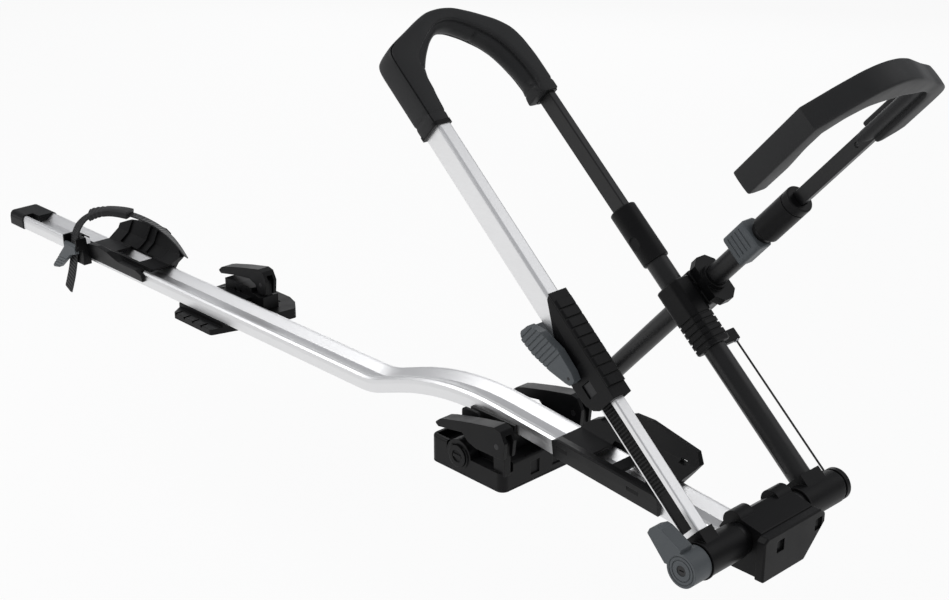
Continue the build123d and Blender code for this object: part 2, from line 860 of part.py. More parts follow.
for side in (-1, 1):
    recess_y = side * front_recess_pitch / 2
    front_base -= block(
        front_half_length - front_recess_depth, front_half_length,
        recess_y - front_recess_width / 2, recess_y + front_recess_width / 2,
        front_recess_z - front_recess_height / 2, front_recess_z + front_recess_height / 2,
    )
    front_base += clamp_tongue(
        front_lever_tip, front_lever_z, side * front_lever_y, front_plinth_top - front_base_edge
    )
knob_arch = rod_y(
    knob_x, knob_z, knob_arch_radius, -front_half_width, front_wall - front_half_width + knob_depth
)
front_base += knob_arch & block(
    -front_half_length, front_half_length, -front_half_width, 0, foot_floor, front_base_top + knob_arch_radius
)
front_base += rod_y(
    knob_x, knob_z, knob_radius + knob_rim, -front_half_width - knob_rim_stand, -front_half_width + knob_rim
) & block(
    -front_half_length, front_half_length, -front_half_width - knob_rim_stand, 0, foot_floor,
    front_base_top,
)
front_base -= rod_y(
    knob_x, knob_z, knob_radius + slide_gap, -front_half_width - knob_rim_stand, -front_half_width + knob_depth
) & block(
    -front_half_length, front_half_length, -front_half_width - knob_rim_stand, 0,
    foot_floor, front_base_top + knob_rim,
)
save(front_base, "front_foot_base")

saddle = block(
    saddle_rear, saddle_front, -rail_half - saddle_wall, rail_half + saddle_wall,
    front_base_top, front_underside(0) + saddle_cheek,
)
saddle -= rail_jacket
saddle_parts = sorted(saddle.solids(), key=lambda solid: solid.volume)
saddle = saddle_parts[-1]
save(saddle, "front_saddle")
bracket_face = outline(
    [(0, 0), (1, 0), (1, 1), (0, 1)], saddle_rear, front_base_top, bracket_front - saddle_rear,
    bracket_top - front_base_top,
)
bracket = side_plate(bracket_face, bracket_near, bracket_near + bracket_thick)
bracket = fillet(bracket.edges().filter_by(Axis.Y).sort_by(Axis.Z)[-2:], bracket_rounding)
bracket += block(
    saddle_rear, bracket_front, bracket_near + bracket_thick, -rail_half - saddle_wall,
    front_base_top, front_base_top + bracket_thick,
)
save(bracket, "front_bracket")

knob_out = -front_half_width - knob_stand
knob = rod_y(knob_x, knob_z, knob_radius, knob_out, -front_half_width + knob_depth - seat_gap)
knob -= rod_y(knob_x, knob_z, knob_face_radius, knob_out, knob_out + knob_face_depth)
knob += block(
    knob_x - knob_bar_length / 2, knob_x + knob_bar_length / 2, knob_out, knob_out + knob_face_depth,
    knob_z - knob_bar_width / 2, knob_z + knob_bar_width / 2,
)
save(knob, "torque_knob")
for side, name in ((-1, "near"), (1, "far")):
    lever = clamp_lever(deep_lever_shares, front_lever_tip, front_lever_z, side * front_lever_y)
    save(lever, "front_lever_" + name)
    save(clamp_pin(front_lever_tip, front_lever_z, side * front_lever_y), "front_lever_pin_" + name)

# rear foot: rubber rest, plate under the rail, clamp block and lever on the far side
plate_face = outline(
    rear_plate_shares, rear_plate_x, rear_plate_y, rear_plate_length, rear_plate_width, rear_plate_rounding
)
slot_face = Pos(rear_slot_x, rear_slot_y) * SlotOverall(rear_slot_length, rear_slot_width)
rear_pad = up_plate(plate_face - slot_face, 0, rear_pad_thick)
save(rear_pad, "rear_foot_pad")
rear_plate = up_plate(plate_face - slot_face, rear_plate_bottom, rail_rest - seat_gap)
rib_start = rear_plate_x + rear_plate_length / 2 - rear_rib_pitch * rear_rib_count / 2
for index in range(rear_rib_count):
    low = rib_start + index * rear_rib_pitch
    rear_plate -= block(
        low, low + rear_rib_width, rear_plate_y, rear_plate_y + rear_rib_length,
        rear_step_z - rear_rib_depth, rail_rest,
    )
rear_plate -= block(
    rear_plate_x, rear_plate_x + rear_plate_length, rear_plate_y, rear_step_y, rear_step_z, rail_rest
)
save(rear_plate, "rear_foot_plate")
clamp_face = outline(rear_clamp_shares, rear_clamp_rear, rail_rest, rear_clamp_length, rear_clamp_height)
clamp_low = rear_clamp_y - rear_clamp_half
clamp_high = rear_clamp_y + rear_clamp_half
rear_clamp = side_plate(clamp_face, clamp_low, clamp_high)
rear_pivot_x, rear_pivot_z = lever_pivot(rear_lever_tip, rear_lever_z)
rear_clamp -= rod_y(rear_pivot_x, rear_pivot_z, lever_fork_radius, clamp_low, clamp_high)
rear_clamp += clamp_tongue(rear_lever_tip, rear_lever_z, rear_clamp_y, rail_rest + rear_clamp_height / 4)
for index in range(2):
    rear_clamp -= rod_y(
        rear_hole_x + index * rear_hole_pitch, rear_hole_z, rear_hole_radius, clamp_low, clamp_high
    )
rear_clamp += block(
    rear_cheek_rear, rear_cheek_front, rear_cheek_half, clamp_low, rail_rest, rear_cheek_top
)
save(rear_clamp, "rear_clamp_block")
save(clamp_lever(lever_shares, rear_lever_tip, rear_lever_z, rear_clamp_y), "rear_lever")
save(clamp_pin(rear_lever_tip, rear_lever_z, rear_clamp_y), "rear_lever_pin")

# axle tube lying on the rail's front end
rail_slant = rail_height / math.cos(math.radians(fall_angle))
axle_z = front_underside(axle_x) + rail_slant + axle_radius + seat_gap
axle_tube = rod_y(axle_x, axle_z, axle_radius, axle_near, axle_far)
axle_tube -= rod_y(axle_x, axle_z, axle_radius - axle_wall, axle_near, axle_far)
save(axle_tube, "axle_tube")
far_cap = rod_y(axle_x, axle_z, axle_radius + far_cap_wall, axle_far, axle_far + far_cap_wall)
far_cap += rod_y(axle_x, axle_z, axle_radius + far_cap_wall, axle_far - far_cap_length, axle_far)
far_cap -= rod_y(axle_x, axle_z, axle_radius, axle_far - far_cap_length, axle_far)
save(far_cap, "far_axle_cap")

# turning lever on the near end of the axle, with the lock core in its middle
axle_lever = rod_y(axle_x, axle_z, axle_lever_radius, axle_lever_end, axle_near + axle_lever_cover)
axle_lever -= rod_y(
    axle_x, axle_z, axle_radius + turn_gap, axle_near - seat_gap, axle_near + axle_lever_cover
)
tab_face = outline(tab_shares, axle_x + tab_rear, axle_z + tab_low, tab_length, tab_height)
tab = side_plate(tab_face, axle_lever_end, axle_lever_end + tab_width)
tab -= rod_y(axle_x, axle_z, axle_radius + turn_gap, axle_near - seat_gap, axle_near + tab_width)
for index in range(tab_groove_count):
    along = index * tab_groove_pitch + tab_groove_pitch
    corner = Pos(axle_x + tab_rear, axle_lever_end, axle_z + tab_low + tab_height * tab_shares[1][1])
    cut = block(
        along, along + tab_groove_width, 0, tab_width, -tab_groove_depth, tab_height,
    )
    lifted = Pos(0, 0, tab_groove_pitch) * cut
    tab -= corner * Rot(0, -leg_angle, 0) * lifted
axle_lever += tab
for radius in axle_ring_radii:
    ring = rod_y(axle_x, axle_z, radius, axle_lever_end, axle_lever_end + axle_ring_depth)
    ring -= rod_y(axle_x, axle_z, radius - axle_ring_width, axle_lever_end, axle_lever_end + axle_ring_depth)
    axle_lever -= ring
axle_lever -= rod_y(axle_x, axle_z, lock_radius, axle_lever_end, axle_lever_end + lock_depth)
save(axle_lever, "axle_lever")
lock_core = rod_y(axle_x, axle_z, lock_radius, axle_lever_end + lock_proud, axle_lever_end + lock_depth)
lock_core -= block(
    axle_x - key_slot_length / 2, axle_x + key_slot_length / 2, axle_lever_end, axle_lever_end + key_slot_depth,
    axle_z - key_slot_width / 2, axle_z + key_slot_width / 2,
)
save(lock_core, "lock_core")

# housing that holds the axle on the rail
housing_face = outline(
    housing_shares, axle_x + housing_rear, axle_z + housing_bottom, housing_length, housing_height,
    housing_rounding,
)
housing = side_plate(housing_face, housing_near, housing_far)
for near in (hump_near, hump_far):
    housing += rod_y(
        axle_x + hump_rear, axle_z + hump_up - hump_radius / 2, hump_radius, near, near + hump_width
    )
housing_front = axle_x + cover_front - cover_thick - seat_gap
housing -= block(
    housing_front, housing_front + housing_length, housing_near, housing_far,
    axle_z - housing_height, axle_z + housing_height,
)
housing -= rod_y(axle_x, axle_z, axle_radius + turn_gap, housing_near, housing_far)
housing -= rail_jacket
housing = sorted(housing.solids(), key=lambda solid: solid.volume)[-1]
save(housing, "axle_housing")
cover_face = outline(
    cover_shares, cover_near, axle_z + cover_bottom, cover_far - cover_near, cover_height, cover_rounding
)
cover = end_plate(cover_face, axle_x + cover_front - cover_thick, axle_x + cover_front)
cover = fillet(cover.faces().sort_by(Axis.X)[-1].edges(), cover_edge)
cover -= rail_jacket
for low in (cover_slot_near, cover_slot_far):
    cover -= block(
        axle_x + cover_front - cover_slot_depth, axle_x + cover_front, low, low + cover_slot_length,
        axle_z + cover_slot_bottom, axle_z + cover_slot_bottom + cover_slot_height,
    )
save(cover, "housing_cover")

# leg frame: x along the legs, y square to them, z across the carrier
lean = math.radians(leg_angle)
leg_plane = Plane(
    origin=(axle_x, 0, axle_z), x_dir=(-math.cos(lean), 0, math.sin(lean)), z_dir=(0, 1, 0)
)
legs = leg_plane.location


def save_on_legs(shape, name):
    save(legs * shape, name)


def bar_along(half_deep, half_thick, middle_y, low, high, rounding):
    face = Pos(0, middle_y) * Rectangle(2 * half_deep, 2 * half_thick)
    face = fillet(face.vertices(), rounding)
    return end_plate(face, low, high)


axle_stub = rod_z(0, 0, axle_radius, axle_near, axle_far)

# lower bar of the near leg with its toothed strip
lower_bar = bar_along(bar_depth / 2, bar_thick / 2, near_leg_y, bar_root, bar_top, bar_rounding)
lower_bar -= axle_stub
lower_bar -= block(
    collar_low, bar_top, -bar_depth / 2 + bar_wall, bar_depth / 2 - bar_wall,
    near_leg_y - bar_thick / 2 + rack_recess + bar_wall / 2, near_leg_y + bar_thick / 2 - bar_wall,
)
rack_low_n = -bar_depth / 2 + rack_back
rack_high_n = rack_low_n + rack_width
bar_face_y = near_leg_y - bar_thick / 2
lower_bar -= block(
    rack_flat_start, rack_end, rack_low_n, rack_high_n, bar_face_y, bar_face_y + rack_recess
)
save_on_legs(lower_bar, "lower_bar")
rack_floor = bar_face_y + rack_recess
rack_points = [(rack_flat_start, rack_floor), (rack_flat_start, rack_floor - rack_base)]
tooth_count = int((rack_end - rack_teeth_start) / rack_pitch)
for index in range(tooth_count):
    tooth_s = rack_teeth_start + index * rack_pitch
    rack_points.append((tooth_s, rack_floor - rack_base))
    rack_points.append((tooth_s + rack_pitch / 4, rack_floor - rack_base - rack_tooth))
    rack_points.append((tooth_s + rack_pitch / 2, rack_floor - rack_base - rack_tooth))
rack_points.append((rack_end, rack_floor - rack_base))
rack_points.append((rack_end, rack_floor))
rack_face = make_face(Polyline(*rack_points, close=True).edges())
rack = side_plate(rack_face, rack_low_n + slide_gap, rack_high_n - slide_gap)
save_on_legs(rack, "rack_strip")


# collars where the legs meet the axle
def collar(low_y, high_y, rim_y, leg_y, leg_half, foot):
    body = rod_z(0, 0, axle_radius + collar_wall, low_y, high_y)
    reach = bar_depth / 2 + socket_wall
    wide = leg_half + socket_wall
    body += block(0, socket_low, -reach, reach, leg_y - wide, leg_y + wide)
    body += rod_z(0, 0, axle_radius + collar_wall + collar_rim, rim_y, rim_y + collar_ridge)
    body -= rod_z(0, 0, axle_radius, low_y, high_y)
    return body - foot


bar_solid = bar_along(bar_depth / 2, bar_thick / 2, near_leg_y, bar_root, bar_top, bar_rounding)
near_collar = collar(collar_near, collar_inner, collar_near, near_leg_y, bar_thick / 2, bar_solid)
save_on_legs(near_collar, "near_collar")
far_rod = rod_x(0, far_leg_y, far_tube_radius, bar_root, far_tube_top)
far_rod_bore = rod_x(0, far_leg_y, far_tube_radius - far_tube_wall, bar_root, far_tube_top)
far_tube = far_rod - far_rod_bore - axle_stub
far_tube -= block(
    far_groove_start, far_groove_start + far_groove_length, -far_groove_width / 2, far_groove_width / 2,
    far_leg_y - far_tube_radius, far_leg_y - far_tube_radius + far_groove_depth,
)
save_on_legs(far_tube, "far_lower_tube")
far_collar = collar(
    far_collar_inner, far_collar_end, far_collar_inner, far_leg_y, far_tube_radius, far_rod
)
save_on_legs(far_collar, "far_collar")

# sleeve at the top of the far tube, guiding the far upper bar
sleeve = rod_x(0, far_leg_y, sleeve_radius, sleeve_low, sleeve_top)
sleeve = fillet(sleeve.edges(), sleeve_edge)
sleeve -= rod_x(0, far_leg_y, far_tube_radius, sleeve_low, far_tube_top)
sleeve -= bar_along(
    far_bar_depth / 2 + slide_gap, far_bar_thick / 2 + slide_gap, far_leg_y, sleeve_low, sleeve_top,
    far_bar_rounding,
)
sleeve -= rod_z(
    sleeve_arch_s, 0, sleeve_arch_radius,
    far_leg_y - sleeve_radius, far_leg_y - sleeve_radius + sleeve_arch_depth,
)
save_on_legs(sleeve, "far_sleeve")
tube_top = head_base + tube_insert
far_bar = bar_along(far_bar_depth / 2, far_bar_thick / 2, far_leg_y, far_bar_low, tube_top, far_bar_rounding)
save_on_legs(far_bar, "far_upper_bar")

# silver upper tube of the near leg
tube_bore = bar_along(
    bar_depth / 2 + slide_gap, bar_thick / 2 + slide_gap, near_leg_y, ratchet_low, tube_top, bar_rounding
)
tube_solid = bar_along(tube_depth / 2, tube_thick / 2, near_leg_y, tube_low, tube_top, tube_rounding)
save_on_legs(tube_solid - tube_bore, "upper_tube")

# head: frame, rubber lining and a band round each end
head_face = outline(head_outer_shares, head_near, head_base, head_width, head_reach)
head_inner = outline(head_inner_shares, head_near, head_base, head_width, head_reach)


def head_plate(face, half):
    turned = Plane(origin=(0, -half, 0), x_dir=(0, 0, 1), z_dir=(0, 1, 0)) * face
    return extrude(turned, amount=2 * half)


head_frame = head_plate(head_face, head_half)
head_frame = chamfer(head_frame.edges().filter_by(GeomType.LINE).filter_by(
    lambda edge: abs(edge.center().Y) > head_half / 2 and edge.center().X > head_base + 1
), head_edge)
head_frame -= head_plate(offset(head_inner, head_pad_thick + soft_gap), head_half)
pockets = tube_solid + far_bar
head_frame -= pockets
for seam_y in head_seam_ys:
    head_frame -= block(
        head_base, head_base + head_reach * 2, head_half - head_seam_depth, head_half,
        seam_y, seam_y + head_seam_width,
    )
save_on_legs(head_frame, "head_frame")
pad_face = offset(head_inner, head_pad_thick) - head_inner
head_pad = head_plate(pad_face, head_pad_half)
head_pad &= block(
    head_base + head_pad_start, head_base + head_reach, -head_pad_half, head_pad_half,
    head_near, head_near + head_width,
)
head_pad -= pockets
save_on_legs(head_pad, "head_pad")


def head_band(low, high, half, base):
    outer = block(base - band_length, base - seat_gap, -half, half, low, high)
    return fillet(outer.edges().filter_by(Axis.X), tube_rounding) - pockets


near_end = near_leg_y + tube_thick / 2 + band_wall / 2
far_base = head_base + head_outer_shares[-3][1] * head_reach
far_half = far_bar_thick / 2 + band_wall
save_on_legs(head_band(head_near, near_end, head_half, head_base), "head_band_near")
save_on_legs(
    head_band(far_leg_y - far_half, far_leg_y + far_half, far_bar_depth / 2 + band_wall, far_base),
    "head_band_far",
)

# ratchet housing that rides on the rack
low_face = outline(ratchet_low_shares, ratchet_low, ratchet_under, ratchet_length, ratchet_depth)
ratchet = up_plate(low_face, ratchet_near, ratchet_far)
side_face = outline(ratchet_side_shares, ratchet_low, ratchet_under, ratchet_length, ratchet_depth)
ratchet_top_n = ratchet_under + ratchet_depth
ratchet += up_plate(side_face, ratchet_near + ratchet_frame_stand, ratchet_far)
frame_face = outline(ratchet_frame_shares, ratchet_low, ratchet_under, ratchet_length, ratchet_depth)
ratchet += up_plate(frame_face, ratchet_near, ratchet_near + ratchet_frame_stand)
ratchet -= tube_solid
ratchet -= tube_bore
rack_lane = block(
    ratchet_low, tube_low, rack_low_n, rack_high_n, bar_face_y - slide_gap, bar_face_y + rack_recess
)
ratchet -= rack_lane
pawl_high = pawl_low + pawl_length
pawl_low_n = rack_low_n + slide_gap
pawl_high_n = pawl_low_n + pawl_depth
ratchet -= block(
    pawl_low - slide_gap, pawl_high + slide_gap, pawl_low_n - slide_gap, pawl_high_n + slide_gap,
    pawl_back - pawl_travel - slide_gap, bar_face_y,
)
ratchet_lever_far = ratchet_near - slide_gap
ratchet -= rod_z(
    ratchet_pivot_s, ratchet_pivot_n, ratchet_pin_radius, ratchet_near, ratchet_near + ratchet_pin_radius
)
ratchet = sorted(ratchet.solids(), key=lambda solid: solid.volume)[-1]
save_on_legs(ratchet, "ratchet_housing")

grip = block(
    grip_start, ratchet_low + ratchet_length, ratchet_top_n, ratchet_top_n + grip_base,
    ratchet_near, ratchet_far,
)
for index in range(grip_count - 1):
    low = grip_start + index * grip_pitch
    high = low + grip_pitch - grip_gap
    grip += block(low, high, ratchet_top_n, ratchet_top_n + grip_base + grip_rise, ratchet_near, ratchet_far)
grip_profile = Pos(ratchet_top_n, (ratchet_near + ratchet_far) / 2) * Rectangle(
    2 * (grip_base + grip_rise), ratchet_far - ratchet_near
)
grip &= end_plate(fillet(grip_profile.vertices(), grip_rounding), grip_start, ratchet_low + ratchet_length)
grip = Pos(0, seat_gap, 0) * grip
save_on_legs(grip, "ratchet_grip")

ratchet_lever_face = outline(
    ratchet_lever_shares, ratchet_lever_low, ratchet_lever_under, ratchet_lever_length, ratchet_lever_depth,
    ratchet_lever_rounding,
)
ratchet_lever = up_plate(ratchet_lever_face, ratchet_lever_near, ratchet_lever_far)
wrap = up_plate(ratchet_lever_face, ratchet_lever_far, ratchet_wrap_far)
wrap &= block(
    ratchet_lever_low + ratchet_wrap_start, ratchet_lever_low + ratchet_lever_length,
    ratchet_lever_under, ratchet_lever_under + ratchet_wrap_depth, ratchet_lever_far, ratchet_wrap_far,
)
ratchet_lever += wrap
for index in range(ratchet_groove_count):
    low = ratchet_groove_start + index * ratchet_groove_pitch
    ratchet_lever -= block(
        low, low + ratchet_groove_width, ratchet_lever_under, ratchet_lever_under + ratchet_lever_depth,
        ratchet_lever_near, ratchet_lever_near + ratchet_groove_depth,
    )
ratchet_lever -= rod_z(
    ratchet_pivot_s, ratchet_pivot_n, ratchet_pin_radius + pin_gap, ratchet_lever_near, ratchet_lever_far
)
save_on_legs(ratchet_lever, "ratchet_lever")
save_on_legs(
    rod_z(
        ratchet_pivot_s, ratchet_pivot_n, ratchet_pin_radius, ratchet_lever_near,
        ratchet_near + ratchet_pin_radius,
    ),
    "ratchet_pin",
)
crest_y = rack_floor - rack_base - rack_tooth
pawl = block(pawl_low, pawl_high, pawl_low_n, pawl_high_n, pawl_back, crest_y - pawl_clear)
for index in range(int(pawl_length / rack_pitch)):
    low = pawl_low + rack_pitch / 4 + index * rack_pitch
    pawl -= block(
        low, low + rack_pitch / 2, pawl_low_n, pawl_high_n, crest_y - pawl_clear - rack_tooth, crest_y
    )
save_on_legs(pawl, "pawl")

# block on the far leg: carries the hook arm's pivot and the wire's upper end
block_face = Pos(0, (block_near + block_far) / 2) * Rectangle(2 * block_half, block_far - block_near)
block_face = fillet(block_face.vertices(), block_rounding)
arm_block = end_plate(block_face, block_low, block_top)
arm_block = chamfer(arm_block.faces().sort_by(Axis.X)[0].edges(), block_edge)
arm_block = chamfer(arm_block.faces().sort_by(Axis.X)[-1].edges(), block_edge)
arm_block += rounded_block(
    block_low - wing_length / 4, block_low + wing_length, -wing_half, wing_half,
    far_leg_y, wing_far, wing_edge,
)
ring_face = block_face - offset(block_face, -ring_depth)
for index in range(ring_count):
    low = block_low + ring_start + index * ring_pitch
    arm_block -= end_plate(ring_face, low, low + ring_width)
arm_block -= far_rod
arm_block -= rod_z(arm_s, 0, pivot_radius + pin_gap, block_far - pivot_depth - pin_gap, block_far)
ferrule_top = block_low + ferrule_length / 2
arm_block -= rod_x(wire_n, wire_y, ferrule_radius, block_low - wing_length, ferrule_top)
arm_block = sorted(arm_block.solids(), key=lambda solid: solid.volume)[-1]
save_on_legs(arm_block, "arm_block")
ferrule = rod_x(wire_n, wire_y, ferrule_radius, ferrule_top - ferrule_length, ferrule_top)
wire_end = ferrule_top - ferrule_length / 2
ferrule -= rod_x(wire_n, wire_y, wire_radius, ferrule_top - ferrule_length, wire_end)
save_on_legs(ferrule, "wire_ferrule")
wire = rod_x(wire_n, wire_y, wire_radius, bar_root, wire_end) - axle_stub
save_on_legs(wire, "tie_wire")

# hook arm: hub with its flange, tube, release slider and sleeve
hub_low_s = arm_s - hub_length / 2
hub = rounded_block(
    hub_low_s, hub_low_s + hub_length, hub_low, hub_high, block_far + seat_gap, hub_far, hub_rounding
)
hub += rod_z(arm_s, 0, pivot_radius, block_far - pivot_depth, block_far + seat_gap + arm_wall)
flange_face = outline(
    flange_shares, arm_s - flange_half_length, block_far + seat_gap * 4, 2 * flange_half_length,
    flange_far - block_far - seat_gap * 4,
)
hub += side_plate(flange_face, hub_high, hub_high + flange_thick)
hub += rod_y(arm_s, arm_y, neck_radius, hub_high, hub_high + flange_thick + neck_length)
hub -= block(
    hub_low_s - hub_length, hub_low_s + 2 * hub_length, hub_low, hub_high + flange_thick + neck_length,
    block_near, block_far + seat_gap,
) - rod_z(arm_s, 0, pivot_radius, block_near, block_far + seat_gap)
arm_rod = rod_y(arm_s, arm_y, arm_radius, arm_low, arm_top)
save_on_legs(hub - arm_rod, "arm_hub")
bar_hole = Pos(arm_s, arm_y) * Rectangle(arm_bar_deep + 2 * slide_gap, arm_bar_thick + 2 * slide_gap)
bar_bore = Pos(0, arm_sleeve_low, 0) * extrude(
    Plane.XZ * bar_hole, amount=arm_sleeve_low - arm_sleeve_high
)
arm_tube = arm_rod - rod_y(arm_s, arm_y, arm_radius - arm_wall, arm_low, arm_top)
save_on_legs(arm_tube, "arm_tube")
arm_sleeve = rod_y(arm_s, arm_y, arm_sleeve_radius, arm_sleeve_low, arm_sleeve_high)
arm_sleeve = fillet(arm_sleeve.edges(), sleeve_edge)
arm_sleeve -= arm_rod + bar_bore
ring_n = arm_sleeve_high - sleeve_ring_back
arm_sleeve -= rod_y(arm_s, arm_y, arm_sleeve_radius, ring_n, ring_n + sleeve_ring_width) - rod_y(
    arm_s, arm_y, arm_sleeve_radius - sleeve_ring_depth, ring_n, ring_n + sleeve_ring_width
)
save_on_legs(arm_sleeve, "arm_sleeve")

trigger_face = Pos(arm_s + (trigger_over - trigger_under) / 2, arm_y + (trigger_wrap - trigger_near) / 2)
trigger_face *= Rectangle(trigger_over + trigger_under, trigger_wrap + trigger_near)
trigger_face = fillet(trigger_face.vertices(), trigger_rounding)
trigger = Pos(0, trigger_low, 0) * extrude(Plane.XZ * trigger_face, amount=trigger_low - trigger_high)
trigger = chamfer(trigger.faces().sort_by(Axis.Y)[0].edges(), trigger_edge)
trigger = chamfer(trigger.faces().sort_by(Axis.Y)[-1].edges(), trigger_edge)
trigger -= rod_y(arm_s, arm_y, arm_radius + turn_gap, trigger_low, trigger_high)
for index in range(trigger_groove_count):
    low = trigger_low + trigger_groove_pitch * (index + 1)
    trigger -= block(
        arm_s - trigger_under / 2, arm_s + trigger_over - trigger_rounding, low, low + trigger_groove_width,
        arm_y - trigger_near, arm_y - trigger_near + trigger_groove_depth,
    )
save_on_legs(trigger, "arm_trigger")

# flat bar and the padded hook
arm_bar_face = Pos(arm_s, arm_y) * Rectangle(arm_bar_deep, arm_bar_thick)
arm_bar_face = fillet(arm_bar_face.vertices(), arm_bar_rounding)
arm_bar = Pos(0, arm_bar_low, 0) * extrude(Plane.XZ * arm_bar_face, amount=arm_bar_low - arm_bar_top)
arm_bar_solid = arm_bar
arm_bar -= rod_z(
    arm_s, arm_hole_n, arm_hole_radius, arm_y - arm_bar_thick, arm_y + arm_bar_thick
)
save_on_legs(arm_bar, "arm_bar")


def hook_plate(face, half):
    turned = Plane(origin=(arm_s - half, 0, 0), x_dir=(0, 0, 1), z_dir=(-1, 0, 0)) * face
    return extrude(turned, amount=-2 * half)


hook_face = outline(hook_outer_shares, hook_near, hook_base, hook_width, hook_reach)
hook_pad = hook_plate(hook_face, hook_half)
core_points = [(hook_near + a * hook_width, hook_base + b * hook_reach) for a, b in core_route_shares]
core_line = FilletPolyline(*core_points, radius=core_thick)
core_face = make_face(offset(core_line, core_thick / 2, side=Side.BOTH).edges())
hook_core = hook_plate(core_face, core_half) - arm_bar_solid
hook_pad -= arm_bar_solid
hook_pad -= hook_core
save_on_legs(hook_core, "hook_core")
save_on_legs(hook_pad, "hook_pad")
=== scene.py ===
import math

import bmesh
import bpy
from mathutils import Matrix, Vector


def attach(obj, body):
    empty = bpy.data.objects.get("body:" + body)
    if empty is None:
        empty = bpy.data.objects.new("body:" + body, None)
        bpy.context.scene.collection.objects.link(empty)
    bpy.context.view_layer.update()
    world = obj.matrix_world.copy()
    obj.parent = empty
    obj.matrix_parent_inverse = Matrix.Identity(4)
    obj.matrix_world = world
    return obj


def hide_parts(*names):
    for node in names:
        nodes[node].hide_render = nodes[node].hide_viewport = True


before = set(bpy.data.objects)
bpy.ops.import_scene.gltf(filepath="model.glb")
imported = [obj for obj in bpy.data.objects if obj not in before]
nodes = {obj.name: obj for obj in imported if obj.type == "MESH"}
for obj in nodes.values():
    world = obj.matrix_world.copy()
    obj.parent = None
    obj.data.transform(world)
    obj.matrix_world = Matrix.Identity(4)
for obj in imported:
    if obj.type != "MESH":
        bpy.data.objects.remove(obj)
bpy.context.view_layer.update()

# points are in millimetres of the shared frame, and MM turns them into metres
MM = 0.001
AXLE = Vector((388.5, 0.0, 63.02))
LEAN = math.radians(41.9)
LEG = Vector((-math.cos(LEAN), 0.0, math.sin(LEAN)))
SQUARE = Vector((math.sin(LEAN), 0.0, math.cos(LEAN)))
ACROSS = Vector((0.0, 1.0, 0.0))
ARM_ALONG = 270.4


# materials: each one has its own grain, colour variation, roughness and bump


EVEN = (1.0, 1.0, 1.0)
WHITE = (1.0, 1.0, 1.0, 1.0)
NOISE_LOW, NOISE_HIGH = 0.3, 0.7
BEVEL_SAMPLES = 8

PLASTIC_GRAIN, PLASTIC_EDGE, PLASTIC_SHEEN = 1400.0, 0.0009, 0.35
PLASTIC_BUMP, PLASTIC_DEPTH = 0.25, 0.00012
PLASTIC_MOTTLE = 26.0
PLASTIC_SMOOTHER, PLASTIC_ROUGHER = 0.05, 0.06

METAL_BRUSHED, METAL_SCATTERED = (6.0, 900.0, 900.0), (300.0, 300.0, 300.0)
METAL_EDGE, METAL_BUMP, METAL_DEPTH = 0.0005, 0.02, 0.00005
METAL_MOTTLE = 9.0
METAL_SMOOTHER, METAL_ROUGHER = 0.04, 0.05

# the wire's colour follows its bump: painted shade darkens the grooves between the strands and the crests
# stay lighter
WIRE_GROOVE_SHADE, WIRE_CREST_TONE = (0.008, 0.008, 0.008), (0.03, 0.03, 0.03)
WIRE_LAY = 260.0
WIRE_SMOOTH, WIRE_ROUGH = 0.3, 0.5
WIRE_METALLIC = 0.2
WIRE_EDGE, WIRE_BUMP, WIRE_DEPTH = 0.0003, 0.4, 0.0002


def new_material(name):
    made = bpy.data.materials.new(name)
    made.use_nodes = True
    tree = made.node_tree
    shader = tree.nodes["Principled BSDF"]
    return made, tree, shader


def coordinates(tree, scale, turn=0.0):
    place = tree.nodes.new("ShaderNodeTexCoord")
    mapping = tree.nodes.new("ShaderNodeMapping")
    mapping.inputs["Rotation"].default_value = (0.0, turn, 0.0)
    mapping.inputs["Scale"].default_value = scale
    tree.links.new(place.outputs["Object"], mapping.inputs["Vector"])
    return mapping.outputs["Vector"]


def noise(tree, vector, scale, detail=3.0):
    made = tree.nodes.new("ShaderNodeTexNoise")
    made.inputs["Scale"].default_value = scale
    made.inputs["Detail"].default_value = detail
    tree.links.new(vector, made.inputs["Vector"])
    return made.outputs["Fac"]


def spread(tree, value, low, high):
    """Maps the part of a noise's range that it mostly stays in to low and high."""
    made = tree.nodes.new("ShaderNodeMapRange")
    made.inputs["From Min"].default_value = NOISE_LOW
    made.inputs["From Max"].default_value = NOISE_HIGH
    made.inputs["To Min"].default_value = low
    made.inputs["To Max"].default_value = high
    tree.links.new(value, made.inputs["Value"])
    return made.outputs["Result"]


def tint(tree, value, dark, light):
    made = tree.nodes.new("ShaderNodeMix")
    made.data_type = "RGBA"
    made.inputs["A"].default_value = (*dark, 1.0)
    made.inputs["B"].default_value = (*light, 1.0)
    tree.links.new(value, made.inputs["Factor"])
    return made.outputs["Result"]


def rounded_edges(tree, radius):
    """A normal that turns over sharp edges within the radius, so that they catch the light."""
    bevel = tree.nodes.new("ShaderNodeBevel")
    bevel.samples = BEVEL_SAMPLES
    bevel.inputs["Radius"].default_value = radius
    return bevel.outputs["Normal"]


def finish(tree, shader, rounded, height, strength, distance):
    """Bump over the rounded edges, or over the plain surface where rounded is None."""
    bump = tree.nodes.new("ShaderNodeBump")
    bump.inputs["Strength"].default_value = strength
    bump.inputs["Distance"].default_value = distance
    tree.links.new(height, bump.inputs["Height"])
    if rounded:
        tree.links.new(rounded, bump.inputs["Normal"])
    tree.links.new(bump.outputs["Normal"], shader.inputs["Normal"])


